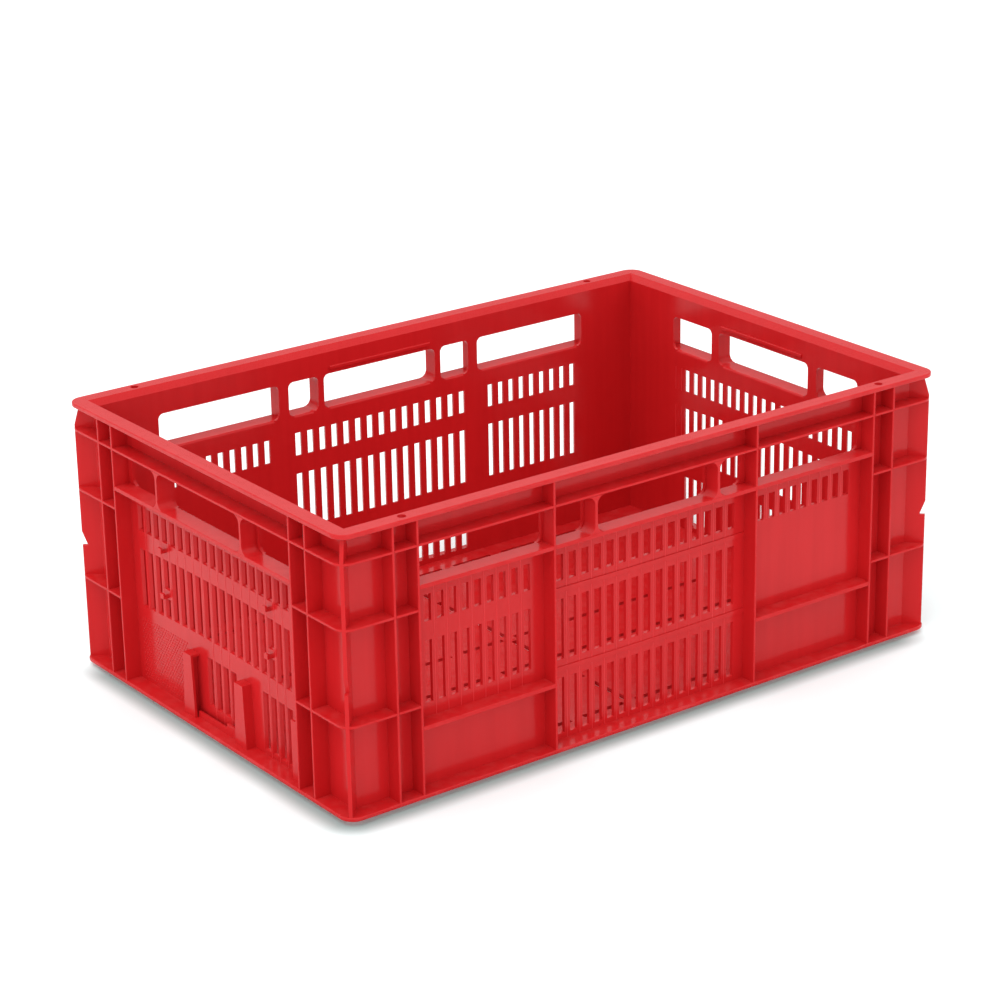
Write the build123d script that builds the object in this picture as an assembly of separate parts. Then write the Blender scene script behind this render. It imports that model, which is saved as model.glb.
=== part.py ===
from build123d import *
import os
from math import atan2, degrees, sqrt

# Open stacking crate on a 600 x 400 footprint, one moulding in the regions it is built from.
# Millimetres, +Z up, origin under the middle of the crate on the plane it stands on.
# A wall is described as it is seen from outside: u runs along it to the right, depth runs in
# from the outline of the crate, and z is the height above the ground.

# Overall
LENGTH = 600.0
WIDTH = 400.0
HEIGHT = 235.0
CORNER_RADIUS = 12.5

# Wall skin, set back so that ribs and shelves stand in front of it
WALL = 2.5
WALL_INSET = 15.0
RIB = 2.0
RIB_INSET = 0.8
SHELF = 2.0
EDGE_ROUND = 0.5

# Rim
RIM_WIDTH = 13.0
RIM_LIP = 4.0
RIM_SLOPE = 5.3
RIM_ROUND = 1.0
RIM_HOLE_RADIUS = 3.5
RIM_HOLE_INSET = 7.2
RIM_HOLE_FROM_END = 60.5

# Base
FOOT_HEIGHT = 4.0
FOOT_WIDTH = 12.0
FOOT_CHAMFER = 1.0
FLOOR = 3.4
FLANGE_ROUND = 1.0
FLOOR_SLOT = 5.0
FLOOR_SLOT_LENGTH = 42.0
FLOOR_CELL = 54.4
FLOOR_BLANK_LINE = 2
FLOOR_MARGIN = 12.0
FLOOR_RIB_HEIGHT = 3.0

# Ribs, from the end of the wall they stand on, and the bay divider from the wall's middle
LONG_RIB_FROM_END = (48.0, 70.0)
SHORT_RIB_FROM_END = (48.0, 69.5)
BAY_DIVIDER = 102.5

# Corner posts
FIN = 3.0
FIN_TAPER = 4.9
FIN_TAPER_HEIGHT = 17.0
NOTCH_DEPTH = 4.7
NOTCH_HEIGHT = 107.6
NOTCH_SQUARE = 0.5
NOTCH_SLOPE = 12.5
CORNER_SHELF_HEIGHTS = (82.0, 160.2)

# Hand-holes under the top shelf
TOP_SHELF_DROP = 22.9
HAND_HOLE_HEIGHT = 30.9
HAND_HOLE_RADIUS = 5.0
GRIP_LEDGE = 3.5
GRIP_ROUND = 2.2
LOWER_LEDGE_HEIGHT = 64.0
PILLAR_FROM_MIDDLE = 62.0
PILLAR_STRIP = 6.0
PILLAR_PLATE = 2.4
PILLAR_LIP_RADIUS = 7.0
DIVIDER_STRIP = (7.0, 3.0)
LONG_END_STRIP = 5.5
SHORT_END_STRIPS = (7.5, 10.2)
END_PILLAR_STRIPS = ((9.5, 1.2), (5.0, 4.8))
GRIP_BEAD_LENGTH = 106.0
GRIP_BEAD_HEIGHT = 3.4
GRIP_BEAD_PROUD = 1.5
GRIP_BEAD_RISE = 3.4

# Slots, in rows hung below the hand-holes; the rows sag in the middle bays and arch on the ends
SLOT_DROP = 15.8
SHORT_ROW = 21.8
LONG_ROW = 51.1
ROW_BAND = 15.6
ROW_RISE = 4.0
MIDDLE_SAG = 0.8
OUTER_RISES = (0.4, 0.0)
END_ARCH = 3.0
END_ARCH_REACH = 105.0
END_ARCH_SHARES = ((0.3, 0.0), (1.0, 1.0), (0.0, 1.0))
SLOT_DRAFT = 0.5
END_SLOT_DRAFT = 1.5
MIDDLE_SLOT = 7.0
MIDDLE_PITCH = 12.5
OUTER_SLOT = 6.3
OUTER_PITCH = 11.7
END_SLOT = 8.2
END_PITCH = 11.6
END_PITCH_LEFT = 12.3
BAY_MARGIN = 10.0
END_MARGIN = 5.0
BAND_BEAD = 4.0
BAND_BEAD_PROUD = 0.8
BAND_BEAD_STEPS = 12

# Label holder and hooks on the short ends
LABEL_PATCH_END = -48.0
BLANK_STRIP = 30.3
STOP_FROM_MIDDLE = 38.5
STOP_WIDTH_TOP = 11.8
STOP_WIDTH_FOOT = 16.4
STOP_PROUD = 8.4
STOP_TOP = 61.0
STOP_PLATE = 2.0
STOP_FACE = 2.2
STOP_WEB = 8.0
STOP_CLEARANCE = 3.8
CARD_LEDGE_HEIGHT = 5.2
CARD_STEP_HEIGHT = 9.6
CARD_STEP_FROM = 13.0
CARD_LEDGE_PROUD = 5.0
CARD_SILL = 2.8
GUIDE_WIDTH = 16.0
GUIDE_TOP = 58.0
HOOK_WIDTH = 5.0
HOOK_PROUD = 5.5
HOOK_LIP = 1.6
HOOK_RISE = 4.5
HOOK_BRIDGE = 8.0
HOOK_PLACES = (-80.5, 75.0)
HOOK_DROPS = (44.5, 84.0)

# Planes and levels that follow from them
WALL_LENGTH = LENGTH - 2 * WALL_INSET
WALL_WIDTH = WIDTH - 2 * WALL_INSET
INSIDE_LENGTH = WALL_LENGTH - 2 * WALL
INSIDE_WIDTH = WALL_WIDTH - 2 * WALL
FLOOR_TOP = FOOT_HEIGHT + FLOOR
RIM_UNDER = HEIGHT - RIM_LIP
WALL_TOP = HEIGHT - RIM_SLOPE
TOP_SHELF_HEIGHT = HEIGHT - TOP_SHELF_DROP
HOLE_TOP = TOP_SHELF_HEIGHT - SHELF
HOLE_FOOT = HOLE_TOP - HAND_HOLE_HEIGHT
LONG_RIBS = tuple(LENGTH / 2 - from_end for from_end in LONG_RIB_FROM_END) + (BAY_DIVIDER,)
SHORT_RIBS = tuple(WIDTH / 2 - from_end for from_end in SHORT_RIB_FROM_END)
LONG_POST = LONG_RIBS[1]
SHORT_POST = SHORT_RIBS[1]
SIDES = {"front": 0, "right": 90, "back": 180, "left": -90}
CORNERS = {"front_left": (-1, -1), "front_right": (1, -1), "back_left": (-1, 1), "back_right": (1, 1)}


def save(name, solids):
    """Write the solids of one region as one file."""
    export_step(Compound(children=list(solids)), f"parts/{name}.step")


def box(x, y, z):
    """A block between three pairs of limits."""
    middle = [(low + high) / 2 for low, high in (x, y, z)]
    return Pos(*middle) * Box(x[1] - x[0], y[1] - y[0], z[1] - z[0])


def wall_box(u, depth, z, reach):
    """A block on the wall that faces -Y, its outline lying at reach from the middle."""
    return box(u, (depth[0] - reach, depth[1] - reach), z)


def on_wall(sketch, depth, reach):
    """A flat shape drawn in u and z, set at a depth of the wall that faces -Y."""
    return Plane(origin=(0, depth - reach, 0), x_dir=(1, 0, 0), z_dir=(0, -1, 0)) * sketch


def wall_slab(sketch, depth, reach):
    """A flat shape drawn in u and z, filled between two depths of the wall that faces -Y."""
    return extrude(on_wall(sketch, depth[0], reach), amount=depth[1] - depth[0], dir=(0, 1, 0))


def raised(plan, low, high):
    """A plan filled between two heights."""
    return extrude(Pos(0, 0, low) * plan, amount=high - low, dir=(0, 0, 1))


def turned(solids, side):
    """Solids of the wall that faces -Y, turned to the named side."""
    return [Rot(0, 0, SIDES[side]) * solid for solid in solids]


def frame_wire(x, y):
    corners = [(x[0], y[0]), (x[1], y[0]), (x[1], y[1]), (x[0], y[1])]
    return Wire.make_polygon(corners, close=True)


def perforated(x, y, openings):
    """A rectangle with rectangular openings, each given as its limits in x and y."""
    return Face(frame_wire(x, y), [frame_wire(*opening) for opening in openings])


def spaced(low, high, slot, pitch, margin):
    """Centres of as many slots as fit between low and high, in the middle of that space."""
    count = int((high - low - 2 * margin - slot) / pitch) + 1
    first = (low + high - (count - 1) * pitch) / 2
    return [first + pitch * number for number in range(count)]


def slot_rows():
    """Height limits of the slot rows, from the hand-holes down to the floor."""
    rows = []
    top = HOLE_FOOT - SLOT_DROP
    height = SHORT_ROW
    lowest = FLOOR_TOP + ROW_RISE
    while top - lowest > ROW_BAND:
        foot = max(top - height, lowest)
        if foot - ROW_BAND < lowest:
            foot = lowest
        rows.append((foot, top))
        top = foot - ROW_BAND
        height = LONG_ROW
    return rows


def raised_rows(rows, rise):
    return [(foot + rise, top + rise) for foot, top in rows]


def slots(centres, width, rows):
    return [((u - width / 2, u + width / 2), row) for row in rows for u in centres]


def ground_ring(outline, opening, low, high, rounding):
    """A plate with rounded outer edges round a rectangular opening."""
    plate = raised(outline, low, high)
    plate = fillet(plate.edges().filter_by(Axis.Z, reverse=True), rounding)
    return plate - box(*opening, (low - 1, high + 1))


def mitred(ring, low, high):
    """A ring round the crate, cut through its corners into its four sides."""
    x, y = LENGTH / 2, WIDTH / 2
    long_side = Polygon((-x, -y), (x, -y), (x - y, 0), (y - x, 0), align=None)
    short_side = Polygon((-x, -y), (y - x, 0), (-x, y), align=None)
    plans = {"front": long_side, "left": short_side}
    plans["back"] = Rot(0, 0, 180) * long_side
    plans["right"] = Rot(0, 0, 180) * short_side
    return {side: (ring & raised(plan, low, high)).solids() for side, plan in plans.items()}


def limits(size):
    return (-size / 2, size / 2)


def rim_sides():
    """Flat rim with a lip outside, a slope inside and a hole by each end of the long sides."""
    outline = RectangleRounded(LENGTH, WIDTH, CORNER_RADIUS)
    opening = (limits(INSIDE_LENGTH), limits(INSIDE_WIDTH))
    rim = ground_ring(outline, opening, RIM_UNDER, HEIGHT, RIM_ROUND)
    skirt = box(limits(WALL_LENGTH), limits(WALL_WIDTH), (WALL_TOP, RIM_UNDER))
    rim += skirt - box(*opening, (WALL_TOP - 1, HEIGHT))
    run = (WALL_INSET + WALL - RIM_WIDTH) / RIM_SLOPE
    levels = (WALL_TOP - 1, HEIGHT + 1)
    spread = [2 * run * (level - WALL_TOP) for level in levels]
    mouth = [Pos(0, 0, level) * Rectangle(INSIDE_LENGTH + more, INSIDE_WIDTH + more)
             for level, more in zip(levels, spread)]
    rim -= loft(mouth)
    for x in (-1, 1):
        for y in (-1, 1):
            place = (x * (LENGTH / 2 - RIM_HOLE_FROM_END), y * (WIDTH / 2 - RIM_HOLE_INSET), HEIGHT)
            rim -= Pos(*place) * Cylinder(RIM_HOLE_RADIUS, 4 * RIM_LIP)
    return mitred(rim, WALL_TOP, HEIGHT)


def flange_sides():
    outline = RectangleRounded(LENGTH, WIDTH, CORNER_RADIUS)
    opening = (limits(WALL_LENGTH), limits(WALL_WIDTH))
    flange = ground_ring(outline, opening, FOOT_HEIGHT, FLOOR_TOP, FLANGE_ROUND)
    return mitred(flange, FOOT_HEIGHT, FLOOR_TOP)


def floor_lines(size):
    """Lines of the floor's slots across one inside length, one of them through the middle."""
    count = int((size / 2 - FLOOR_MARGIN) / FLOOR_CELL)
    return [FLOOR_CELL * number for number in range(-count, count + 1)]


def between(lines):
    return [(low + high) / 2 for low, high in zip(lines, lines[1:])]


def floor_grid():
    """Floor plate, pierced by slots along its lines of cells, and by one line of slots across its middle."""
    columns, rows = floor_lines(INSIDE_LENGTH), floor_lines(INSIDE_WIDTH)
    width, length = FLOOR_SLOT / 2, FLOOR_SLOT_LENGTH / 2
    slotted = [y for y in rows if round(abs(y) / FLOOR_CELL) != FLOOR_BLANK_LINE]
    openings = [((x - length, x + length), (y - width, y + width)) for x in between(columns) for y in slotted]
    openings += [((-width, width), (y - length, y + length)) for y in between(rows)]
    plan = perforated(limits(WALL_LENGTH), limits(WALL_WIDTH), openings)
    return [raised(plan, FOOT_HEIGHT, FLOOR_TOP)]


def floor_ribs():
    """One rib under the middle of each row of floor cells, from foot to foot."""
    x = limits(WALL_LENGTH - 2 * FOOT_WIDTH)
    z = (FOOT_HEIGHT - FLOOR_RIB_HEIGHT, FOOT_HEIGHT)
    return [box(x, (y - RIB / 2, y + RIB / 2), z) for y in between(floor_lines(INSIDE_WIDTH))]


def stacking_foot():
    """Four bars under the edge of the floor, with a lead-in round the outside."""
    block = box(limits(WALL_LENGTH), limits(WALL_WIDTH), (0, FOOT_HEIGHT))
    block = chamfer(block.faces().sort_by(Axis.Z)[0].edges(), FOOT_CHAMFER)
    opening = (limits(WALL_LENGTH - 2 * FOOT_WIDTH), limits(WALL_WIDTH - 2 * FOOT_WIDTH))
    sides = mitred(block - box(*opening, (-1, FOOT_HEIGHT + 1)), 0, FOOT_HEIGHT)
    return [solid for solids in sides.values() for solid in solids]


def vertical_ribs(places, reach):
    """Outside ribs from the flange to the rim, with rounded front edges."""
    ribs = []
    for u in [sign * place for place in places for sign in (-1, 1)]:
        rib = wall_box((u - RIB / 2, u + RIB / 2), (RIB_INSET, WALL_INSET), (FLOOR_TOP, RIM_UNDER), reach)
        ribs.append(fillet(rib.edges().filter_by(Axis.Z).group_by(Axis.Y)[0], EDGE_ROUND))
    return ribs


def post_outline():
    """Plan of the ribs' outer edges."""
    return RectangleRounded(LENGTH - 2 * RIB_INSET, WIDTH - 2 * RIB_INSET, CORNER_RADIUS - RIB_INSET)


def fin_plan(corner):
    """Diagonal strip from the corner of the wall out to the outline of the ribs."""
    x, y = corner
    angle = degrees(atan2(y, x))
    strip = Rectangle(2 * WALL_INSET, FIN, align=(Align.MIN, Align.CENTER))
    strip = Pos(x * (WALL_LENGTH / 2 - FIN), y * (WALL_WIDTH / 2 - FIN)) * Rot(0, 0, angle) * strip
    return (strip & post_outline()) - Rectangle(WALL_LENGTH, WALL_WIDTH)


def fin_cut(corner, points):
    """A cutter across the fin; points give distance out from its edge, and height."""
    x, y = corner
    edge = RIB_INSET + (CORNER_RADIUS - RIB_INSET) * (1 - 1 / sqrt(2))
    origin = (x * (LENGTH / 2 - edge), y * (WIDTH / 2 - edge), 0)
    plane = Plane(origin=origin, x_dir=(x, y, 0), z_dir=(y, -x, 0))
    return extrude(plane * Polygon(*points, align=None), amount=FIN, both=True)


def corner_fin(corner):
    """The diagonal fin, tapered in under the rim and notched half way up."""
    fin = raised(fin_plan(corner), FLOOR_TOP, RIM_UNDER)
    taper = FIN_TAPER_HEIGHT / FIN_TAPER
    taper_foot = RIM_UNDER - FIN_TAPER_HEIGHT - taper
    fin -= fin_cut(corner, [(-FIN_TAPER, RIM_UNDER), (1, RIM_UNDER), (1, taper_foot)])
    slope = NOTCH_SLOPE / NOTCH_DEPTH
    square = NOTCH_HEIGHT + NOTCH_SQUARE
    notch = [(1, NOTCH_HEIGHT), (1, square + NOTCH_SLOPE + slope)]
    notch += [(-NOTCH_DEPTH, square), (-NOTCH_DEPTH, NOTCH_HEIGHT)]
    fin -= fin_cut(corner, notch)
    return fin.solids()


def place_of(face):
    """Name of the corner or side in which a cell of a shelf level lies."""
    centre = face.center()
    along = "front" if centre.Y < 0 else "back"
    across = "left" if centre.X < 0 else "right"
    if abs(centre.X) < LONG_POST:
        return along
    return across if abs(centre.Y) < SHORT_POST else f"{along}_{across}"


def level_cells():
    """Plan of a shelf level, cut into cells by the ribs and the fins, under each cell's place."""
    cuts = [fin_plan(corner) for corner in CORNERS.values()]
    for sign in (-1, 1):
        cuts += [Pos(sign * x, 0) * Rectangle(RIB, WIDTH) for x in LONG_RIBS]
        cuts += [Pos(0, sign * y) * Rectangle(LENGTH, RIB) for y in SHORT_RIBS]
    plan = post_outline() - Rectangle(WALL_LENGTH, WALL_WIDTH) - cuts
    cells = {}
    for face in plan.faces().sort_by(Axis.X):
        cells.setdefault(place_of(face), []).append(face)
    return cells


def is_front_edge(edge):
    """True for an edge along the outline, and not for one that runs in to the wall."""
    middle = edge.center()
    inset = min(LENGTH / 2 - abs(middle.X), WIDTH / 2 - abs(middle.Y))
    return abs(edge.tangent_at(0).Z) < 0.5 and inset < WALL_INSET / 3


def shelves(cells, top, thickness):
    """One plate for each cell, with rounded front edges."""
    plates = [raised(cell, top - thickness, top) for cell in cells]
    return [fillet(plate.edges().filter_by(is_front_edge), EDGE_ROUND) for plate in plates]


def corner_wall(corner):
    """Two lengths of plain wall that meet at the corner, out to the last rib of each side."""
    x, y = corner
    outer = (x * WALL_LENGTH / 2, y * WALL_WIDTH / 2)
    inner = (x * INSIDE_LENGTH / 2, y * INSIDE_WIDTH / 2)
    long_leg = Polygon(outer, inner, (x * LONG_POST, inner[1]), (x * LONG_POST, outer[1]), align=None)
    short_leg = Polygon(outer, inner, (inner[0], y * SHORT_POST), (outer[0], y * SHORT_POST), align=None)
    return [raised(leg, FLOOR_TOP, WALL_TOP) for leg in (long_leg, short_leg)]


def flared(low, high, radius):
    """An upright between two openings, flared at its top and foot by their rounded corners."""
    middle = (HOLE_FOOT + HOLE_TOP) / 2
    upright = Pos((low + high) / 2, middle) * Rectangle(high - low + 2 * radius, HAND_HOLE_HEIGHT)
    void = RectangleRounded(4 * radius, HAND_HOLE_HEIGHT, radius)
    return upright - [Pos(low - 2 * radius, middle) * void, Pos(high + 2 * radius, middle) * void]


def half_flared(post, inner, radius):
    """The upright between the last opening of a wall and the wall's post."""
    sign = 1 if post > 0 else -1
    upright = flared(*sorted((inner, inner + 4 * sign * radius)), radius)
    return upright & Pos(post - 2 * sign * radius, 0) * Rectangle(4 * radius, 2 * HEIGHT)


def hand_hole_pillars(strips, ends, reach):
    """Uprights of wall between the hand-holes; the two by the middle carry a plate."""
    skin = (WALL_INSET, WALL_INSET + WALL)
    pillars = [wall_slab(flared(*strip, HAND_HOLE_RADIUS), skin, reach) for strip in strips]
    pillars += [wall_slab(half_flared(*end, HAND_HOLE_RADIUS), skin, reach) for end in ends]
    for u in (-PILLAR_FROM_MIDDLE, PILLAR_FROM_MIDDLE):
        plate = flared(u - PILLAR_PLATE / 2, u + PILLAR_PLATE / 2, PILLAR_LIP_RADIUS)
        pillars.append(wall_slab(plate, (RIB_INSET, WALL_INSET), reach))
    return [solid for pillar in pillars for solid in pillar.solids()]


def both_signs(low, high):
    return [(-high, -low), (low, high)]


def middle_strips():
    half = PILLAR_STRIP / 2
    return both_signs(PILLAR_FROM_MIDDLE - half, PILLAR_FROM_MIDDLE + half)


def long_uprights():
    """Limits of a long wall's uprights: the strips between its hand-holes, and those by its posts."""
    inner, outer = DIVIDER_STRIP
    strips = middle_strips() + both_signs(BAY_DIVIDER - inner, BAY_DIVIDER + outer)
    return strips, [(sign * LONG_POST, sign * (LONG_POST - LONG_END_STRIP)) for sign in (-1, 1)]


def short_uprights():
    """The same for a short end; its strips reach further to one side of their plates than to the other."""
    strips, ends = [], []
    for sign, (left, right), end in zip((-1, 1), END_PILLAR_STRIPS, SHORT_END_STRIPS):
        strips.append((sign * PILLAR_FROM_MIDDLE - left, sign * PILLAR_FROM_MIDDLE + right))
        ends.append((sign * SHORT_POST, sign * (SHORT_POST - end)))
    return strips, ends


def hand_holes(strips, ends):
    """Limits along a wall of the openings between its uprights."""
    edges = sorted([inner for post, inner in ends] + [edge for strip in strips for edge in strip])
    return list(zip(edges[::2], edges[1::2]))


def grip_round(hole, reach):
    """A cutter that rounds the inner edge of the wall under a hand-hole."""
    u = (hole[0] + HAND_HOLE_RADIUS, hole[1] - HAND_HOLE_RADIUS)
    depth, z = WALL_INSET + WALL - GRIP_ROUND, HOLE_FOOT - GRIP_ROUND
    corner = wall_box(u, (depth, depth + 2 * GRIP_ROUND), (z, z + 2 * GRIP_ROUND), reach)
    bar = Rot(0, 90, 0) * Cylinder(GRIP_ROUND, 2 * (u[1] - u[0]))
    return corner - Pos((u[0] + u[1]) / 2, depth - reach, z) * bar


def upper_band(post, reach):
    """Wall above the hand-holes, with a rounded bead on its inner face for the fingers."""
    inner = WALL_INSET + WALL
    band = wall_box((-post, post), (WALL_INSET, inner), (HOLE_TOP, WALL_TOP), reach)
    foot = HOLE_TOP + GRIP_BEAD_RISE
    depth = (inner, inner + GRIP_BEAD_PROUD)
    bead = wall_box(limits(GRIP_BEAD_LENGTH), depth, (foot, foot + GRIP_BEAD_HEIGHT), reach)
    bead = fillet(bead.edges().filter_by(Axis.X).group_by(Axis.Y)[-1], GRIP_BEAD_PROUD / 2)
    return [band + bead]


def slot_cut(opening, draft, reach):
    """A cutter for one slot, which narrows from the outer face of the wall to the inner."""
    (left, right), (foot, top) = opening
    middle = Pos((left + right) / 2, (foot + top) / 2)
    sections = []
    for depth in (-WALL, 2 * WALL):
        width = right - left - 2 * draft * depth / WALL
        height = top - foot - 2 * SLOT_DRAFT * depth / WALL
        section = middle * Rectangle(width, height)
        sections.append(on_wall(section, WALL_INSET + depth, reach))
    return loft(sections)


def wall_panel(u, openings, draft, holes, reach):
    """A length of wall skin from the floor up to the hand-holes, pierced by slots with drafted sides."""
    skin = wall_box(u, (WALL_INSET, WALL_INSET + WALL), (FLOOR_TOP, HOLE_FOOT), reach)
    cuts = [slot_cut(opening, draft, reach) for opening in openings]
    return skin - cuts - [grip_round(hole, reach) for hole in holes]


def middle_sag(u):
    """How much higher the rows of a middle bay stand at a place along it than in its middle."""
    return MIDDLE_SAG * (u / BAY_DIVIDER) ** 2


def band_bead(middle, reach):
    """A flat bead along a band between rows of a middle bay, which sags as they do."""
    inner = BAY_DIVIDER - RIB / 2
    places = [inner * (2 * step / BAND_BEAD_STEPS - 1) for step in range(BAND_BEAD_STEPS + 1)]
    foot = [(u, middle + middle_sag(u) - BAND_BEAD / 2) for u in places]
    top = [(u, z + BAND_BEAD) for u, z in reversed(foot)]
    return wall_slab(Polygon(*foot, *top, align=None), (WALL_INSET - BAND_BEAD_PROUD, WALL_INSET), reach)


def middle_panel(holes, reach):
    """Middle bay of a long wall: every row of slots, with a bead along each band between rows."""
    u = (-BAY_DIVIDER, BAY_DIVIDER)
    rows = slot_rows()
    openings = []
    for column in spaced(*u, MIDDLE_SLOT, MIDDLE_PITCH, BAY_MARGIN):
        openings += slots([column], MIDDLE_SLOT, raised_rows(rows, middle_sag(column)))
    panel = wall_panel(u, openings, SLOT_DRAFT, holes, reach)
    for upper, lower in zip(rows, rows[1:]):
        panel += band_bead((upper[0] + lower[1]) / 2, reach)
    return [panel]


def outer_panel(u, rows, holes, reach):
    """Outer bay of a long wall, slotted in the given rows only."""
    columns = spaced(*u, OUTER_SLOT, OUTER_PITCH, BAY_MARGIN)
    return [wall_panel(u, slots(columns, OUTER_SLOT, rows), SLOT_DRAFT, holes, reach)]


def end_columns():
    """Slot columns of a short end, from the blank strip at its right; the left ones stand wider apart."""
    columns = [SHORT_POST - BLANK_STRIP]
    lowest = END_MARGIN + END_SLOT / 2 - SHORT_POST
    while columns[0] - END_PITCH_LEFT > lowest:
        pitch = END_PITCH if columns[0] > 0 else END_PITCH_LEFT
        columns.insert(0, columns[0] - pitch)
    return columns


def hook_columns():
    """The slot columns nearest to the places of the hooks."""
    return [min(end_columns(), key=lambda u: abs(u - place)) for place in HOOK_PLACES]


def is_clear(u):
    """True where a low slot clears the label patch and the stops of the card holder."""
    near = END_SLOT / 2 + STOP_WIDTH_FOOT / 2 + STOP_CLEARANCE
    return u > LABEL_PATCH_END and abs(abs(u) - STOP_FROM_MIDDLE) > near


def hook_middle(drop):
    return HOLE_FOOT - drop + HOOK_RISE / 2


def hook_column_rows(row):
    """A row of slots, interrupted where a hook bridges its column."""
    rows = [row]
    for middle in [hook_middle(drop) for drop in HOOK_DROPS]:
        low, high = middle - HOOK_BRIDGE / 2, middle + HOOK_BRIDGE / 2
        if row[0] < low and high < row[1]:
            rows = [(row[0], low), (high, row[1])]
    return rows


def arched_row(u, row, shares):
    """Height limits of a row of a short end, each raised by its share of the arch."""
    arch = END_ARCH * (1 - (u / END_ARCH_REACH) ** 2)
    return tuple(level + share * arch for level, share in zip(row, shares))


def end_slots(columns, row, shares):
    """Slots of one row of a short end."""
    openings = []
    for u in columns:
        arched = arched_row(u, row, shares)
        rows = hook_column_rows(arched) if u in hook_columns() else [arched]
        openings += slots([u], END_SLOT, rows)
    return openings


def end_panel(holes, reach):
    """Short end: full rows above, and below them slots only where the label holder leaves room."""
    columns = end_columns()
    upper, middle, (foot, top) = slot_rows()
    upper_shares, middle_shares, low_shares = END_ARCH_SHARES
    openings = end_slots(columns, upper, upper_shares) + end_slots(columns, middle, middle_shares)
    sill = max(foot, FLOOR_TOP + CARD_STEP_HEIGHT + CARD_SILL)
    low = [u for u in columns if is_clear(u)]
    openings += end_slots([u for u in low if u > STOP_FROM_MIDDLE], (foot, top), low_shares)
    openings += end_slots([u for u in low if u < STOP_FROM_MIDDLE], (sill, top), low_shares)
    return [wall_panel((-SHORT_POST, SHORT_POST), openings, END_SLOT_DRAFT, holes, reach)]


def stop_edge(sign, side, z):
    """Place along the wall of a card stop's edge, inner for side -1 and outer for side 1, at a height."""
    share = (z - FLOOR_TOP) / (STOP_TOP - FLOOR_TOP)
    width = STOP_WIDTH_FOOT + (STOP_WIDTH_TOP - STOP_WIDTH_FOOT) * share
    return sign * (STOP_FROM_MIDDLE + side * width / 2)


def card_stop(sign, reach):
    """A stop of the card holder: a plate before the wall, with a thick web on its outer edge and a cap."""
    front = WALL_INSET - STOP_PROUD
    back = front + STOP_FACE
    inward = -sign * STOP_WEB
    cap_foot = STOP_TOP - STOP_PLATE
    inner = [(stop_edge(sign, -1, z), z) for z in (FLOOR_TOP, cap_foot, STOP_TOP)]
    outer = [(stop_edge(sign, 1, z), z) for z in (FLOOR_TOP, cap_foot, STOP_TOP)]
    shifted = [(u + inward, z) for u, z in outer]
    plate = Polygon(inner[0], outer[0], outer[2], inner[2], align=None)
    web = Polygon(shifted[0], outer[0], outer[2], shifted[2], align=None)
    cap = Polygon(inner[1], shifted[1], shifted[2], inner[2], align=None)
    pieces = [wall_slab(web, (back, WALL_INSET), reach), wall_slab(cap, (back, WALL_INSET), reach)]
    return [wall_slab(plate, (front, back), reach)] + pieces


def card_ledge(reach):
    """Low ledge between the stops, stepped up towards the right one."""
    depth = (WALL_INSET - CARD_LEDGE_PROUD, WALL_INSET - CARD_LEDGE_PROUD + STOP_PLATE)
    inner = STOP_FROM_MIDDLE - STOP_WIDTH_FOOT / 2
    low = wall_box((-inner, CARD_STEP_FROM), depth, (FLOOR_TOP, FLOOR_TOP + CARD_LEDGE_HEIGHT), reach)
    high = wall_box((CARD_STEP_FROM, inner), depth, (FLOOR_TOP, FLOOR_TOP + CARD_STEP_HEIGHT), reach)
    return [low, high]


def card_guide(reach):
    """A plate from the side of the right-hand rib, in line with the stops."""
    front = WALL_INSET - STOP_PROUD
    rib_side = SHORT_POST - RIB / 2
    u = (rib_side - GUIDE_WIDTH, rib_side)
    return wall_box(u, (front, front + STOP_PLATE), (FLOOR_TOP, GUIDE_TOP), reach)


def label_holder(reach):
    """Stops and a ledge for a label card, and a guide by the rib."""
    return card_stop(-1, reach) + card_stop(1, reach) + card_ledge(reach) + [card_guide(reach)]


def label_hooks(reach):
    """Small hooks on two slot columns, at two heights."""
    front = WALL_INSET - HOOK_PROUD
    hooks = []
    for column in hook_columns():
        u = (column - HOOK_WIDTH / 2, column + HOOK_WIDTH / 2)
        for foot in [HOLE_FOOT - drop for drop in HOOK_DROPS]:
            stem = wall_box(u, (front, WALL_INSET), (foot, foot + HOOK_LIP), reach)
            lip = wall_box(u, (front, front + HOOK_LIP), (foot, foot + HOOK_RISE), reach)
            hooks.append(stem + lip)
    return hooks


def long_side(side, cells):
    """Regions of a long side that are drawn on its wall, by name."""
    reach = WIDTH / 2
    uprights = long_uprights()
    holes = hand_holes(*uprights)
    left_rows, right_rows = [raised_rows(slot_rows(), rise) for rise in OUTER_RISES]
    regions = {
        "wall_left_panel": outer_panel((-LONG_POST, -BAY_DIVIDER), left_rows[:2], holes, reach),
        "wall_middle_panel": middle_panel(holes, reach),
        "wall_right_panel": outer_panel((BAY_DIVIDER, LONG_POST), right_rows[:1], holes, reach),
        "hand_hole_pillars": hand_hole_pillars(*uprights, reach),
        "upper_band": upper_band(LONG_POST, reach),
        "vertical_ribs": vertical_ribs(LONG_RIBS, reach),
    }
    placed = {name: turned(solids, side) for name, solids in regions.items()}
    placed["lower_ledges"] = shelves([cells[0], cells[-1]], LOWER_LEDGE_HEIGHT, GRIP_LEDGE)
    return placed


def short_end(side):
    """Regions of a short end that are drawn on its wall, by name."""
    reach = LENGTH / 2
    uprights = short_uprights()
    regions = {
        "wall_panel": end_panel(hand_holes(*uprights), reach),
        "hand_hole_pillars": hand_hole_pillars(*uprights, reach),
        "upper_band": upper_band(SHORT_POST, reach),
        "vertical_ribs": vertical_ribs(SHORT_RIBS, reach),
        "label_holder": label_holder(reach),
        "label_hooks": label_hooks(reach),
    }
    return {name: turned(solids, side) for name, solids in regions.items()}


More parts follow.
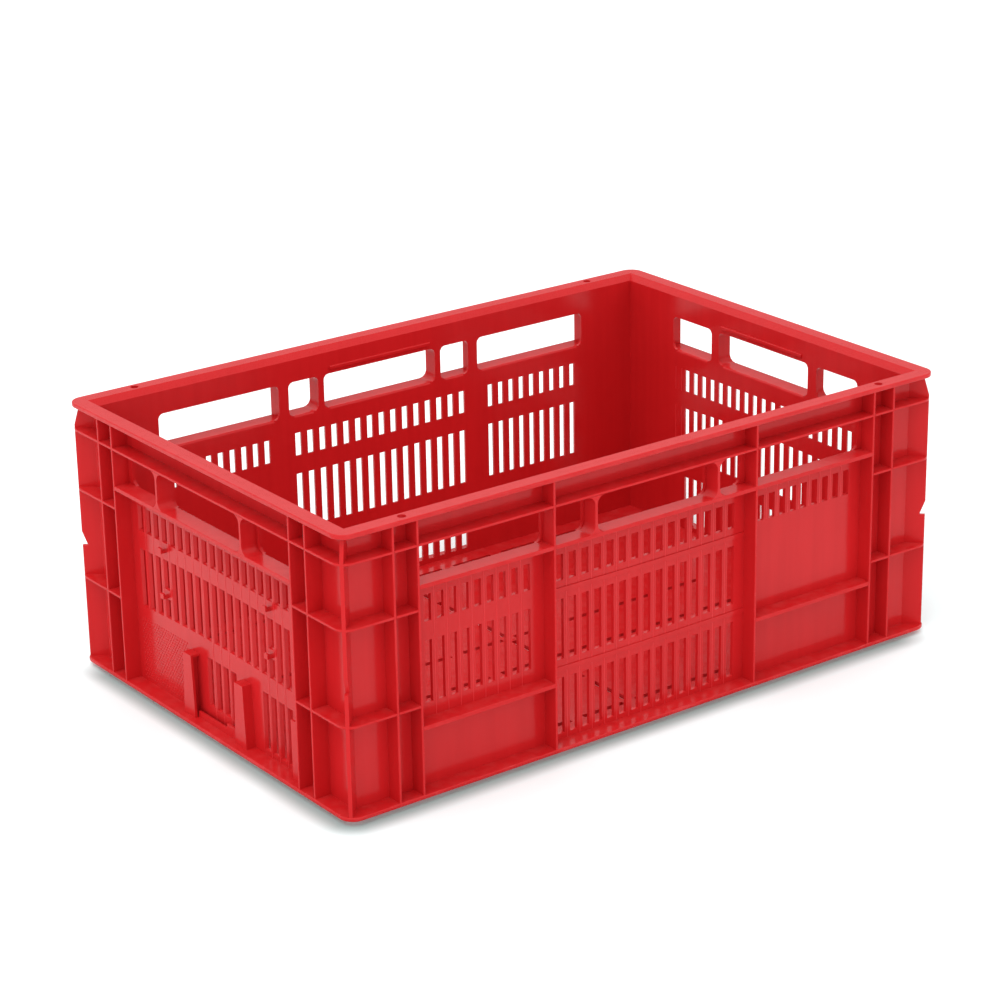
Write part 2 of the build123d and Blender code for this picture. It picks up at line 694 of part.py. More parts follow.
def build_sides(cells):
    rims, flanges = rim_sides(), flange_sides()
    for side in SIDES:
        regions = long_side(side, cells[side]) if side in ("front", "back") else short_end(side)
        regions["top_shelf"] = shelves(cells[side], TOP_SHELF_HEIGHT, SHELF)
        regions["grip_ledge"] = shelves(cells[side], HOLE_FOOT, GRIP_LEDGE)
        regions["base_flange"] = flanges[side]
        regions["rim"] = rims[side]
        for name, solids in regions.items():
            save(f"{side}_{name}", solids)


def build_corners(cells):
    for name, corner in CORNERS.items():
        plates = []
        for top in CORNER_SHELF_HEIGHTS + (TOP_SHELF_HEIGHT,):
            plates += shelves(cells[name], top, SHELF)
        save(f"{name}_corner_wall", corner_wall(corner))
        save(f"{name}_corner_fin", corner_fin(corner))
        save(f"{name}_corner_shelves", plates)


def build_base():
    save("floor_grid", floor_grid())
    save("floor_ribs", floor_ribs())
    save("stacking_foot", stacking_foot())


os.makedirs("parts", exist_ok=True)
plan_cells = level_cells()
build_base()
build_sides(plan_cells)
build_corners(plan_cells)
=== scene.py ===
# %% [markdown]
# A red stacking crate, dressed on its own solids.
# The crate is one moulding in high-density polyethylene, and its solids already carry the main shapes:
# walls, ribs, shelves, hand-holes and rim. So this lesson loads them as a fixed frame, gives each region
# the finish that its mould gave it, and adds the fine relief that is too small for the solids.

# %% Load the frame and keep its size
import math

import bmesh
import bpy
from mathutils import Matrix, Vector


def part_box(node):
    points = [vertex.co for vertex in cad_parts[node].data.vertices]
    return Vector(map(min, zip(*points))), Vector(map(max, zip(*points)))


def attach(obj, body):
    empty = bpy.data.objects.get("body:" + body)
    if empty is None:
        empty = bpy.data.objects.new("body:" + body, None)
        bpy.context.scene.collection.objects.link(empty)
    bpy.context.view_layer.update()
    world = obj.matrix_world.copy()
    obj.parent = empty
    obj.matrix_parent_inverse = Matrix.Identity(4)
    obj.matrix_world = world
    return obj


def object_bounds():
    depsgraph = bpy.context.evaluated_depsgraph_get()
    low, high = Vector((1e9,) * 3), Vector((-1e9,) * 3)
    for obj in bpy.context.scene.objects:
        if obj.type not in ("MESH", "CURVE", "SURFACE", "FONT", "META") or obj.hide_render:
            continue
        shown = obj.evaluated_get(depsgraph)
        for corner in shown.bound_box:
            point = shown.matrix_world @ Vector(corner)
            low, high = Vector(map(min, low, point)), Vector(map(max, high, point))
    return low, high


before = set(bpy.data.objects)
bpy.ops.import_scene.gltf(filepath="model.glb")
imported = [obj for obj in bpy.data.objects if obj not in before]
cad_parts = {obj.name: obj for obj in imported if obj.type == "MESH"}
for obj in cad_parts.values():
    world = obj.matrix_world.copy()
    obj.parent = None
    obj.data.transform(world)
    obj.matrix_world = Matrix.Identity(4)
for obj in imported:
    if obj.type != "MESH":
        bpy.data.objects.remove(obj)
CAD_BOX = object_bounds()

MM = 0.001
print("regions of the crate:", len(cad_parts), "box:", CAD_BOX)

# %% [markdown]
# The camera stands above the front left corner, as far off as a photographer with a long lens would.
# Blender's camera could be aimed with a Track To constraint, but a rotation worked out from the aim and
# a small roll is steadier: it holds in a render, in an export and when the view is changed.

# %% Place the camera
CAMERA_PLACE = Vector((-1.3994, -1.8811, 1.0199))
CAMERA_AIM = Vector((-0.0079, -0.0015, 0.1361))
CAMERA_ROLL = math.radians(0.969)
CAMERA_LENS = 107.67


def new_object(name, data):
    thing = bpy.data.objects.new(name, data)
    bpy.context.scene.collection.objects.link(thing)
    return thing


def place_camera():
    data = bpy.data.cameras.new("studio_camera")
    data.lens = CAMERA_LENS
    camera = new_object("studio_camera", data)
    turn = (CAMERA_AIM - CAMERA_PLACE).to_track_quat("-Z", "Y").to_matrix().to_4x4()
    camera.matrix_world = Matrix.Translation(CAMERA_PLACE) @ turn @ Matrix.Rotation(-CAMERA_ROLL, 4, "Z")
    bpy.context.scene.camera = camera
    return camera


print("camera looks from", place_camera().matrix_world.translation)

# %% [markdown]
# Node trees are wired in code, so a few small helpers come first. The main one adds a node, sets its
# properties and its inputs, and links an input where it is given another node's output. The others are
# short names for nodes that nearly every tree needs: sums, products, soft steps and coordinates.

# %% Helpers for node trees
def add_node(tree, kind, inputs=None, **settings):
    node = tree.nodes.new(kind)
    for name, value in settings.items():
        setattr(node, name, value)
    for name, value in (inputs or {}).items():
        if isinstance(value, bpy.types.NodeSocket):
            tree.links.new(value, node.inputs[name])
        else:
            node.inputs[name].default_value = value
    return node


def calculate(tree, operation, *values):
    node = add_node(tree, "ShaderNodeMath", dict(enumerate(values)), operation=operation)
    return node.outputs["Value"]


def product(tree, value, *factors):
    for factor in factors:
        value = calculate(tree, "MULTIPLY", value, factor)
    return value


def eased(tree, value, low, high, start=0.0, end=1.0):
    """A smooth step of value, from start at low to end at high."""
    limits = {"Value": value, "From Min": low, "From Max": high, "To Min": start, "To Max": end}
    node = add_node(tree, "ShaderNodeMapRange", limits, interpolation_type="SMOOTHSTEP")
    return node.outputs["Result"]


def along(tree, vector, axis):
    """One coordinate of a vector."""
    return add_node(tree, "ShaderNodeSeparateXYZ", {"Vector": vector}).outputs[axis]


print("helpers:", [helper.__name__ for helper in (add_node, calculate, product, eased, along)])

# %% [markdown]
# The light is a white room. A single lamp would leave the slotted walls black inside, so the surround
# itself is the lamp. In front it is even, so that walls and ledges differ little. Behind it is brightest
# half way up, where it shines through the hand-holes onto the ledges, and weak low down, where the rim
# would mirror it. A soft sun from high on the left adds to the rim. The plain colour transform keeps the
# red saturated.

# %% Light the room
SKY_LEVELS = (0.0, 0.25, 0.5, 0.75, 1.0)
SKY_BACK = (0.1, 0.3, 1.8, 1.5, 0.3)
SKY_FRONT = (1.4, 1.25, 1.2, 1.15, 0.8)
SKY_WHITE = (1.0, 1.0, 1.0, 1.0)
FRONT = (-0.75, -0.66, 0.0)
FRONT_EDGES = (-0.3, 0.6)
SUN_STRENGTH = 1.1
SUN_ANGLE = math.radians(40)
SUN_FROM = Vector((-0.34, -0.16, 0.93))


def sky_profile(tree, height, strengths):
    """Strength of the sky at the height of a direction, in straight lines between some levels."""
    profile = add_node(tree, "ShaderNodeFloatCurve", {"Value": height})
    profile.mapping.clip_max_y = max(strengths)
    curve = profile.mapping.curves[0]
    places = list(zip(SKY_LEVELS, strengths))
    for place in places[1:-1]:
        curve.points.new(*place)
    for point, place in zip(curve.points, places):
        point.location = place
        point.handle_type = "VECTOR"
    profile.mapping.update()
    return profile.outputs["Value"]


def light_surround():
    world = bpy.data.worlds.new("white_room")
    bpy.context.scene.world = world
    world.use_nodes = True
    tree = world.node_tree
    way = add_node(tree, "ShaderNodeTexCoord").outputs["Generated"]
    ahead = add_node(tree, "ShaderNodeVectorMath", {0: way, 1: FRONT}, operation="DOT_PRODUCT")
    in_front = eased(tree, ahead.outputs["Value"], *FRONT_EDGES)
    height = along(tree, way, "Z")
    back, front = [sky_profile(tree, height, strengths) for strengths in (SKY_BACK, SKY_FRONT)]
    more = product(tree, calculate(tree, "SUBTRACT", front, back), in_front)
    backdrop = tree.nodes["Background"]
    tree.links.new(calculate(tree, "ADD", back, more), backdrop.inputs["Strength"])
    backdrop.inputs["Color"].default_value = SKY_WHITE


def hang_sun():
    sun = bpy.data.lights.new("high_sun", "SUN")
    sun.energy = SUN_STRENGTH
    sun.angle = SUN_ANGLE
    lamp = new_object("high_sun", sun)
    lamp.rotation_euler = SUN_FROM.to_track_quat("Z", "Y").to_euler()


light_surround()
hang_sun()
bpy.context.scene.view_settings.view_transform = "Standard"

# %% [markdown]
# Light this even hardly draws the shade in which a thing stands, and a lamp strong enough to draw it would
# put it on one side only. So the floor itself deepens towards the crate's base. The shade is worked out
# from the distance to the rounded outline of the base, and it ends before the far corners, which stand in
# the open.

# %% Shade on the floor
SHADE_WIDTH = 20 * MM
SHADE_UNDER = 8 * MM
SHADE_ROUND = 12.5 * MM
SHADE_END = 40 * MM


def outline_distance(tree, place, corner):
    """Distance from a rounded rectangle about the origin, below zero inside it."""
    beyond = []
    for axis, reach in zip("XY", corner):
        out = calculate(tree, "ABSOLUTE", along(tree, place, axis))
        beyond.append(calculate(tree, "SUBTRACT", out, reach - SHADE_ROUND))
    squares = [calculate(tree, "POWER", calculate(tree, "MAXIMUM", out, 0.0), 2.0) for out in beyond]
    outside = calculate(tree, "SQRT", calculate(tree, "ADD", *squares))
    within = calculate(tree, "MINIMUM", calculate(tree, "MAXIMUM", *beyond), 0.0)
    return calculate(tree, "SUBTRACT", calculate(tree, "ADD", outside, within), SHADE_ROUND)


def shade_of(tree, place, corner):
    """How deep the shade is: full at the outline, none under the middle of the crate or far from it."""
    edge = outline_distance(tree, place, corner)
    factors = [eased(tree, edge, -SHADE_UNDER, 0.0), eased(tree, edge, 0.0, SHADE_WIDTH, 1.0, 0.0)]
    for axis, reach in zip("XY", corner):
        factors.append(eased(tree, along(tree, place, axis), reach - SHADE_END, reach, 1.0, 0.0))
    return product(tree, *factors)


print("shade reaches", SHADE_WIDTH / MM, "mm from the base")

# %% [markdown]
# The floor is a wide pale sheet under the crate. It isn't part of the crate.
# Its white leans a little to green and glows a little, which balances the red that the crate throws on it.

# %% Lay the floor
FLOOR_REACH = 40.0
FLOOR_WHITE = (0.82, 0.93, 0.93, 1.0)
FLOOR_SHADE = (0.34, 0.42, 0.41, 1.0)
FLOOR_GLOW = 0.12
FLOOR_ROUGHNESS = 0.7


def own_place(tree):
    """Where a point lies in the object's own coordinates."""
    return add_node(tree, "ShaderNodeTexCoord").outputs["Object"]


def mixed(tree, share, first, second):
    """A colour between two. A Mix node takes its colours on sockets 6 and 7 and gives one on output 2."""
    node = add_node(tree, "ShaderNodeMix", {0: share, 6: first, 7: second}, data_type="RGBA")
    return node.outputs[2]


def new_paint(name):
    """A material, its node tree and its Principled shader."""
    paint = bpy.data.materials.new(name)
    paint.use_nodes = True
    return paint, paint.node_tree, paint.node_tree.nodes["Principled BSDF"]


def lay_floor():
    mesh = bpy.data.meshes.new("floor_sheet")
    r = FLOOR_REACH
    mesh.from_pydata([(-r, -r, 0), (r, -r, 0), (r, r, 0), (-r, r, 0)], [], [(0, 1, 2, 3)])
    sheet = new_object("floor_sheet", mesh)
    paint, tree, shader = new_paint("floor_white")
    shade = shade_of(tree, own_place(tree), CAD_BOX[1])
    colour = mixed(tree, shade, FLOOR_WHITE, FLOOR_SHADE)
    for socket in ("Base Color", "Emission Color"):
        tree.links.new(colour, shader.inputs[socket])
    shader.inputs["Emission Strength"].default_value = FLOOR_GLOW
    shader.inputs["Roughness"].default_value = FLOOR_ROUGHNESS
    mesh.materials.append(paint)
    return sheet


print("floor:", lay_floor().name)

# %% [markdown]
# Moulded polyethylene is never a perfect mirror. The melt shrinks as it cools, so a flat panel has a faint
# orange peel a few millimetres across, and the mould's steel leaves a much finer satin grain. Both could be
# painted as an image, but noise in the object's own coordinates has no seams between the regions. The skin
# is a node group: a box of nodes with named inputs and outputs, built once and placed in many materials.

# %% Group: moulded skin
SKIN_DETAIL = {"Peel": 1.0, "Grain": 2.0}
NOISE_MIDDLE = 0.5


def new_group(name, inputs, outputs):
    group = bpy.data.node_groups.new(name, "ShaderNodeTree")
    for label, kind, value in inputs:
        socket = group.interface.new_socket(label, in_out="INPUT", socket_type=f"NodeSocket{kind}")
        socket.default_value = value
    for label, kind in outputs:
        group.interface.new_socket(label, in_out="OUTPUT", socket_type=f"NodeSocket{kind}")
    given = group.nodes.new("NodeGroupInput").outputs
    result = group.nodes.new("NodeGroupOutput").inputs
    return group, given, result


def noise_at(tree, place, scale, detail):
    node = add_node(tree, "ShaderNodeTexNoise", {"Vector": place, "Scale": scale, "Detail": detail})
    return node.outputs["Fac"]


def moulded_skin():
    inputs = [("Peel Scale", "Float", 170.0), ("Grain Scale", "Float", 2200.0),
              ("Peel Share", "Float", 0.7), ("Gloss", "Float", 0.3), ("Gloss Spread", "Float", 0.1)]
    group, given, result = new_group("moulded_skin", inputs, [("Height", "Float"), ("Roughness", "Float")])
    place = own_place(group)
    peel, grain = [noise_at(group, place, given[f"{label} Scale"], detail)
                   for label, detail in SKIN_DETAIL.items()]
    grain_share = calculate(group, "SUBTRACT", 1.0, given["Peel Share"])
    relief = [product(group, peel, given["Peel Share"]), product(group, grain, grain_share)]
    group.links.new(calculate(group, "ADD", *relief), result["Height"])
    around = calculate(group, "SUBTRACT", grain, NOISE_MIDDLE)
    spread = product(group, around, given["Gloss Spread"])
    group.links.new(calculate(group, "ADD", given["Gloss"], spread), result["Roughness"])
    return group


MOULDED_SKIN = moulded_skin()
print("group:", MOULDED_SKIN.name, [item.name for item in MOULDED_SKIN.interface.items_tree])

# %% [markdown]
# The pigment is mixed into the melt and drawn out as the mould fills from the middle of the floor. It
# leaves soft clouds, and streaks that run up the walls. A colour ramp on one noise gives only clouds, so a
# second noise is squeezed along the height, and the two are added.

# %% Group: pigment flow
FLOW_DETAIL = 2.0
CLOUD_SCALE = 14.0
STREAK_SCALE = 120.0
STREAK_SQUEEZE = (1.0, 1.0, 0.06)
FLOW_EDGES = (0.75, 1.25)


def pigment_flow():
    inputs = [("Colour", "Color", (0.5, 0.01, 0.01, 1.0)), ("Deep Colour", "Color", (0.4, 0.01, 0.01, 1.0)),
              ("Amount", "Float", 0.5)]
    group, given, result = new_group("pigment_flow", inputs, [("Colour", "Color")])
    place = own_place(group)
    clouds = noise_at(group, place, CLOUD_SCALE, FLOW_DETAIL)
    squeezed = add_node(group, "ShaderNodeMapping", {"Vector": place, "Scale": STREAK_SQUEEZE})
    streaks = noise_at(group, squeezed.outputs["Vector"], STREAK_SCALE, FLOW_DETAIL)
    both = calculate(group, "ADD", clouds, streaks)
    share = product(group, eased(group, both, *FLOW_EDGES), given["Amount"])
    group.links.new(mixed(group, share, given["Colour"], given["Deep Colour"]), result["Colour"])
    return group


PIGMENT_FLOW = pigment_flow()
print("group:", PIGMENT_FLOW.name)

# %% [markdown]
# A crate rubs where it stands proud: on other crates, on pallets and on hands. The mask could come from an
# edge detector, but every border between two regions of this moulding would then show as an edge. Here it
# comes from how near a point lies to the outline of the whole crate, broken up by fine scratches.

# %% Group: handling rub
PATCH_SCALE = 38.0
PATCH_DETAIL = 3.0
PATCH_EDGES = (0.45, 0.75)
SCRATCH_SCALE = 60.0
SCRATCH_DETAIL = 4.0
SCRATCH_TURN = (0.2, 0.3, 0.6)
SCRATCH_SQUEEZE = (1.0, 14.0, 14.0)
SCRATCH_EDGES = (0.58, 0.68)


def outline_nearness(group, place, width):
    """One on the crate's outline in plan, falling to nothing at a width inside it."""
    inside = []
    for axis, reach in zip("XY", CAD_BOX[1]):
        out = calculate(group, "ABSOLUTE", along(group, place, axis))
        inside.append(calculate(group, "SUBTRACT", reach, out))
    return eased(group, calculate(group, "MINIMUM", *inside), width, 0.0)


def handling_rub():
    inputs = [("Width", "Float", 2.5 * MM), ("Amount", "Float", 0.4)]
    group, given, result = new_group("handling_rub", inputs, [("Mask", "Float")])
    place = own_place(group)
    near = outline_nearness(group, place, given["Width"])
    patches = noise_at(group, place, PATCH_SCALE, PATCH_DETAIL)
    turned = add_node(group, "ShaderNodeMapping",
                      {"Vector": place, "Rotation": SCRATCH_TURN, "Scale": SCRATCH_SQUEEZE})
    scratches = noise_at(group, turned.outputs["Vector"], SCRATCH_SCALE, SCRATCH_DETAIL)
    worn = eased(group, patches, *PATCH_EDGES)
    lines = eased(group, scratches, *SCRATCH_EDGES)
    marks = calculate(group, "MAXIMUM", worn, lines)
    group.links.new(product(group, near, marks, given["Amount"]), result["Mask"])
    return group


HANDLING_RUB = handling_rub()
print("group:", HANDLING_RUB.name)

# %% [markdown]
# Even a clean crate has a film of dust on what faces up, thicker low down. It could be a second, paler
# shader laid over the first, but an export reads only one. So it is a mask, and each material decides how
# pale and how matt the film makes it.

# %% Group: settled dust
FACING_UP = (0.5, 0.95)
SPECK_SCALE = 90.0
SPECK_DETAIL = 5.0
SPECK_EDGES = (0.35, 0.7)
FILM_AT_TOP = 0.4


def settled_dust():
    group, given, result = new_group("settled_dust", [("Amount", "Float", 0.1)], [("Mask", "Float")])
    place = own_place(group)
    facing = add_node(group, "ShaderNodeNewGeometry").outputs["Normal"]
    lying = eased(group, along(group, facing, "Z"), *FACING_UP)
    specks = eased(group, noise_at(group, place, SPECK_SCALE, SPECK_DETAIL), *SPECK_EDGES)
    low = eased(group, along(group, place, "Z"), CAD_BOX[1].z, 0.0, FILM_AT_TOP, 1.0)
    group.links.new(product(group, lying, specks, low, given["Amount"]), result["Mask"])
    return group


SETTLED_DUST = settled_dust()
print("group:", SETTLED_DUST.name)

# %% [markdown]
# All regions are the same red polyethylene, coloured through. They differ in how the mould was finished and
# in what touches them, so one function builds the material and each finish gives its own gloss, mirror,
# peel and wear. Only the Principled shader, which an export can read, stands in the material itself.

# %% Red polyethylene
RED = (0.565, 0.0135, 0.0160, 1.0)
DEEP_RED = (0.495, 0.0105, 0.0125, 1.0)
# Paler red of the parting lines and blind ridges: a painted highlight, lighter than the wall as if they
# caught the light.
PAINTED_HIGHLIGHT_RED = (0.70, 0.035, 0.040, 1.0)
PALE_RUB = (0.66, 0.05, 0.055, 1.0)
DUST = (0.60, 0.16, 0.15, 1.0)
SKIN_DEPTH = 0.03 * MM
PLASTIC_IOR = 1.5
MATT_WHERE_WORN = 0.3


def red_polyethylene(name, gloss, mirror, peel, flow, rub, rub_width, dust, colours=(RED, DEEP_RED)):
    paint, tree, shader = new_paint(name)
    shader.inputs["IOR"].default_value = PLASTIC_IOR
    shader.inputs["Specular IOR Level"].default_value = mirror
    skin = add_node(tree, "ShaderNodeGroup", {"Gloss": gloss, "Peel Share": peel}, node_tree=MOULDED_SKIN)
    melt = {"Colour": colours[0], "Deep Colour": colours[1], "Amount": flow}
    pigment = add_node(tree, "ShaderNodeGroup", melt, node_tree=PIGMENT_FLOW)
    wear = add_node(tree, "ShaderNodeGroup", {"Amount": rub, "Width": rub_width}, node_tree=HANDLING_RUB)
    film = add_node(tree, "ShaderNodeGroup", {"Amount": dust}, node_tree=SETTLED_DUST)
    rubbed = mixed(tree, wear.outputs["Mask"], pigment.outputs["Colour"], PALE_RUB)
    tree.links.new(mixed(tree, film.outputs["Mask"], rubbed, DUST), shader.inputs["Base Color"])
    worn = calculate(tree, "ADD", wear.outputs["Mask"], film.outputs["Mask"])
    rougher = product(tree, worn, MATT_WHERE_WORN)
    tree.links.new(calculate(tree, "ADD", skin.outputs["Roughness"], rougher), shader.inputs["Roughness"])
    relief = add_node(tree, "ShaderNodeBump", {"Height": skin.outputs["Height"], "Distance": SKIN_DEPTH})
    tree.links.new(relief.outputs["Normal"], shader.inputs["Normal"])
    return paint


FINISHES = {
    "wall": red_polyethylene("red_wall_skin", gloss=0.17, mirror=0.19, peel=0.8, flow=0.5,
                             rub=0.2, rub_width=2.0 * MM, dust=0.10),
    "frame": red_polyethylene("red_frame", gloss=0.20, mirror=0.13, peel=0.7, flow=0.4,
                              rub=0.35, rub_width=2.0 * MM, dust=0.12),
    "rim": red_polyethylene("red_rim", gloss=0.28, mirror=0.17, peel=0.6, flow=0.3,
                            rub=0.35, rub_width=6.0 * MM, dust=0.06),
    "base": red_polyethylene("red_base", gloss=0.20, mirror=0.17, peel=0.7, flow=0.5,
                             rub=0.45, rub_width=3.0 * MM, dust=0.08),
    "label": red_polyethylene("red_label_holder", gloss=0.20, mirror=0.17, peel=0.7, flow=0.3,
                              rub=0.25, rub_width=6.0 * MM, dust=0.10),
    # The paler finish of the thin ridges is a painted highlight.
    "painted_highlight": red_polyethylene("red_painted_highlight", gloss=0.30, mirror=0.17, peel=0.5, flow=0.3,
                              rub=0.0, rub_width=2.0 * MM, dust=0.0, colours=(PAINTED_HIGHLIGHT_RED, RED)),
}
print("finishes:", [paint.name for paint in FINISHES.values()])

# %% [markdown]
# Each region takes the finish of the mould face that made it. The region's name says which: the words are
# looked up in turn, and whatever is left is wall. Smooth shading with a sharp limit keeps flat faces flat
# and lets the small rounds on ribs and shelves roll.

# %% Dress the regions
FINISH_WORDS = {"rim": ("rim",), "label": ("label",), "base": ("flange", "floor", "foot"),
                "frame": ("ribs", "shelf", "shelves", "ledge", "ledges", "fin", "pillars")}
SHARP_ANGLE = math.radians(40)


def finish_of(name):
    words = name.split("_")
    for finish, marks in FINISH_WORDS.items():
        if any(mark in words for mark in marks):
            return finish
    return "wall"


def dress_regions():
    dressed = {}
    for name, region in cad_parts.items():
        finish = finish_of(name)
        region.data.materials.clear()
        region.data.materials.append(FINISHES[finish])
        region.data.shade_smooth()
        region.data.set_sharp_from_angle(angle=SHARP_ANGLE)
        dressed.setdefault(finish, []).append(name)
    return dressed


print("dressed:", {finish: len(names) for finish, names in dress_regions().items()})

# %% [markdown]
# The fine relief is drawn on one wall as it is seen from outside: u runs to the right, z up, and the wall's
# face is a plane. A turn about the vertical then carries it to its side. The slots aren't typed in again:
# they are read off the wall's own solid. A slot's corners are those points of the wall's face from which an
# edge runs into the wall, and each column of slots has them at two values of u.

# %% Read the slots off the walls
TURNS = {"front": 0, "right": 90, "back": 180, "left": -90}
WALL_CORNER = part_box("front_left_corner_wall")[0]
FACE = {"front": WALL_CORNER.y, "back": WALL_CORNER.y, "left": WALL_CORNER.x, "right": WALL_CORNER.x}
PANEL_BORDER = 4.0 * MM
SAME = 0.02 * MM


def side_of(node):
    return node.split("_")[0]


def side_turn(side):
    return Matrix.Rotation(math.radians(TURNS[side]), 4, "Z")


def slot_columns(node):
    """Slots of a wall region: {(left, right): [(foot, top), ...]}, as seen from outside."""
    back = side_turn(side_of(node)).inverted()
    face = FACE[side_of(node)]
    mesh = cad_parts[node].data
    points = [back @ corner.co for corner in mesh.vertices]
    ends = (min(p.x for p in points) + PANEL_BORDER, max(p.x for p in points) - PANEL_BORDER)
    heights = {}
    for edge in mesh.edges:
        p, inside = sorted((points[number] for number in edge.vertices), key=lambda point: point.y)
        if abs(p.y - face) < SAME < inside.y - p.y and ends[0] < p.x < ends[1]:
            heights.setdefault(round(p.x / SAME), set()).add(round(p.z / SAME))
    edges = sorted(heights)
    columns = {}
    for left, right in zip(edges[::2], edges[1::2]):
        levels = [level * SAME for level in sorted(heights[left])]
        columns[left * SAME, right * SAME] = list(zip(levels[::2], levels[1::2]))
    return columns


WALL_PANELS = sorted(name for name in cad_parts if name.endswith("panel"))
SLOTS = {name: slot_columns(name) for name in WALL_PANELS}
print("slot columns:", {name: len(columns) for name, columns in SLOTS.items()})

# %% [markdown]
# Each kind of relief becomes one piece per wall panel. It is drawn in a bmesh, Blender's mesh for editing
# in code, which takes points and faces one by one. Objects and modifiers would do as well, but hundreds of
# them would be slow. The plate that lines and ridges are made of is closed, a solid like the walls.

# %% Helpers for the relief
PLATE_SUNK = 0.2 * MM


def new_piece(name, mesh, finish):
    piece = new_object(name, mesh)
    mesh.materials.append(FINISHES[finish])
    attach(piece, "root")
    return piece


def finished_sheet(sheet, name, side, finish):
    """The drawn relief, turned to its side and made a piece."""
    bmesh.ops.recalc_face_normals(sheet, faces=sheet.faces)
    sheet.transform(side_turn(side))
    mesh = bpy.data.meshes.new(name)
    sheet.to_mesh(mesh)
    sheet.free()
    return new_piece(name, mesh, finish)


def plate(sheet, u, y, z):
    """A closed block between three pairs of limits."""
    corners = [[[sheet.verts.new((a, b, c)) for c in z] for b in y] for a in u]
    for low, high in ((0, 1), (1, 0)):
        order = ((0, 0), (low, high), (1, 1), (high, low))
        sheet.faces.new([corners[low][b][c] for b, c in order])
        sheet.faces.new([corners[a][low][c] for c, a in order])
        sheet.faces.new([corners[a][b][low] for a, b in order])


def strip(middle, width):
    """The two limits of a strip about its middle."""
    return middle - width / 2, middle + width / 2


print("plates are sunk", PLATE_SUNK / MM, "mm into their wall")

# %% [markdown]
# Each column of slots is formed by an insert of its own in the mould. Where two inserts meet, between two
# columns, the melt creeps into the joint and leaves a parting line: a hair-thin ridge of surplus plastic.
# It could be drawn in the bump, but a real ridge catches the light from every side, so each line is a slim
# plate on the wall's face. Its paler red is a painted highlight, lighter than the wall as if it caught the
# light.

# %% Parting lines
LINE_WIDTH = 0.5 * MM
LINE_PROUD = 0.15 * MM
LOW_REACH = 25.0 * MM
LEDGE_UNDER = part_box("front_grip_ledge")[0].z
FLANGE_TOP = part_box("front_base_flange")[1].z
LOWER_LEDGE_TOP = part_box("front_lower_ledges")[1].z


def line_foot(rows, foot):
    """Where a line beside a column starts: at the foot of the wall, unless the column has no low slot."""
    lowest = rows[0][0]
    return foot if lowest - foot < LOW_REACH else lowest


def parting_lines(node, foot, top):
    side = side_of(node)
    depth = (FACE[side] - LINE_PROUD, FACE[side] + PLATE_SUNK)
    sheet = bmesh.new()
    columns = sorted(SLOTS[node].items())
    for (left, left_rows), (right, right_rows) in zip(columns, columns[1:]):
        middle = (left[1] + right[0]) / 2
        start = max(line_foot(left_rows, foot), line_foot(right_rows, foot))
        plate(sheet, strip(middle, LINE_WIDTH), depth, (start, top))
    # The line is painted paler than the wall: a painted highlight.
    return finished_sheet(sheet, f"{node}_parting_lines", side, "painted_highlight")


for node in SLOTS:
    outer_bay = node.endswith(("left_panel", "right_panel"))
    lines = parting_lines(node, LOWER_LEDGE_TOP if outer_bay else FLANGE_TOP, LEDGE_UNDER)
    print(lines.name, len(lines.data.polygons), "faces")

# %% [markdown]
# A stick-on label holds better on a field of small raised dots, which let it peel off again in one piece.
# Each dot is a low dome. An array modifier could repeat one dot, but the rows are staggered and stop at the
# card stop, so a loop places them.

# %% Label dots
DOTS_FROM_END = 9.0 * MM
DOTS_FROM_STOP = 4.3 * MM
DOTS_FROM_FLANGE = 3.6 * MM
DOTS_ABOVE_STOP = 4.0 * MM
DOT_SPACING = (3.6 * MM, 2.5 * MM)
DOT_RADIUS = 0.95 * MM
DOT_HEIGHT = 0.45 * MM
DOT_SIDES = 10
DOT_RINGS = ((1.0, -0.3), (0.97, 0.35), (0.6, 0.85))


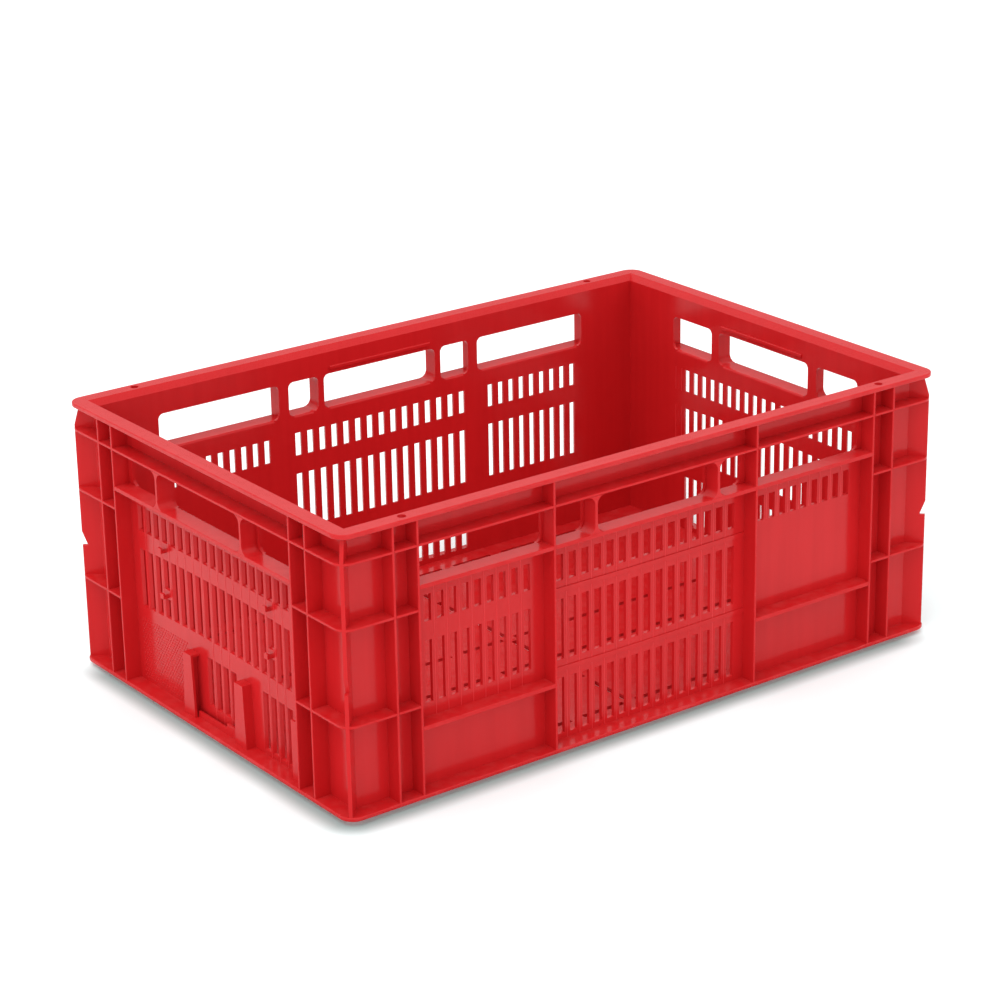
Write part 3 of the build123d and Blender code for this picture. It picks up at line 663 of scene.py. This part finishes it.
def dome(sheet, u, z, face):
    """A low dome: rings as shares of a dot's radius and height, the first one inside the wall, and a top."""
    rings = []
    for radius, proud in DOT_RINGS:
        ring = []
        for number in range(DOT_SIDES):
            turn = 2 * math.pi * number / DOT_SIDES
            place = (u + DOT_RADIUS * radius * math.cos(turn), face - proud * DOT_HEIGHT,
                     z + DOT_RADIUS * radius * math.sin(turn))
            ring.append(sheet.verts.new(place))
        rings.append(ring)
    for lower, upper in zip(rings, rings[1:]):
        for number in range(DOT_SIDES):
            after = (number + 1) % DOT_SIDES
            sheet.faces.new([lower[number], lower[after], upper[after], upper[number]])
    top = sheet.verts.new((u, face - DOT_HEIGHT, z))
    for number in range(DOT_SIDES):
        sheet.faces.new([rings[-1][number], rings[-1][(number + 1) % DOT_SIDES], top])
    sheet.faces.new(list(reversed(rings[0])))


def dot_field():
    """Limits of the patch across and up, between the end of the wall panel and the card stop."""
    panel_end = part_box("left_wall_panel")[1]
    stop_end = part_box("left_label_holder")[1]
    across = (DOTS_FROM_END - panel_end.y, -DOTS_FROM_STOP - stop_end.y)
    up = (FLANGE_TOP + DOTS_FROM_FLANGE, stop_end.z + DOTS_ABOVE_STOP)
    return across, up


def label_dots(side):
    (left, right), (foot, head) = dot_field()
    across, up = DOT_SPACING
    sheet = bmesh.new()
    for row in range(int((head - foot) / up) + 1):
        shift = across / 2 * (row % 2)
        for number in range(int((right - left - shift) / across) + 1):
            dome(sheet, left + shift + across * number, foot + up * row, FACE[side])
    piece = finished_sheet(sheet, f"{side}_label_dots", side, "wall")
    piece.data.shade_smooth()
    return piece


for side in ("left", "right"):
    dots = label_dots(side)
    print(dots.name, len(dots.data.polygons), "faces")

# %% [markdown]
# One more column of slots was planned on each end and never opened. Inside the crate its steel left two
# fine upright ridges in the upper rows, one step beyond the last column that is open. They could be cut
# from the wall, but they stand proud of it, so they are plates like the parting lines, with the same painted
# highlight.

# %% Blind column
RIDGE_WIDTH = 0.6 * MM
RIDGE_PROUD = 0.3 * MM
RIDGE_ROWS = 2


def blind_ridges(side):
    node = f"{side}_wall_panel"
    (before, _), last = sorted(SLOTS[node])[-2:]
    low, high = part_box(node)
    inner = FACE[side] + (high.x - low.x)
    sheet = bmesh.new()
    for edge in last:
        across = strip(edge + last[0] - before, RIDGE_WIDTH)
        for row in SLOTS[node][last][-RIDGE_ROWS:]:
            plate(sheet, across, (inner - PLATE_SUNK, inner + RIDGE_PROUD), row)
    # The ridges take the same painted highlight as the parting lines.
    return finished_sheet(sheet, f"{side}_blind_ridges", side, "painted_highlight")


for side in ("left", "right"):
    ridges = blind_ridges(side)
    print(ridges.name, len(ridges.data.polygons), "faces")
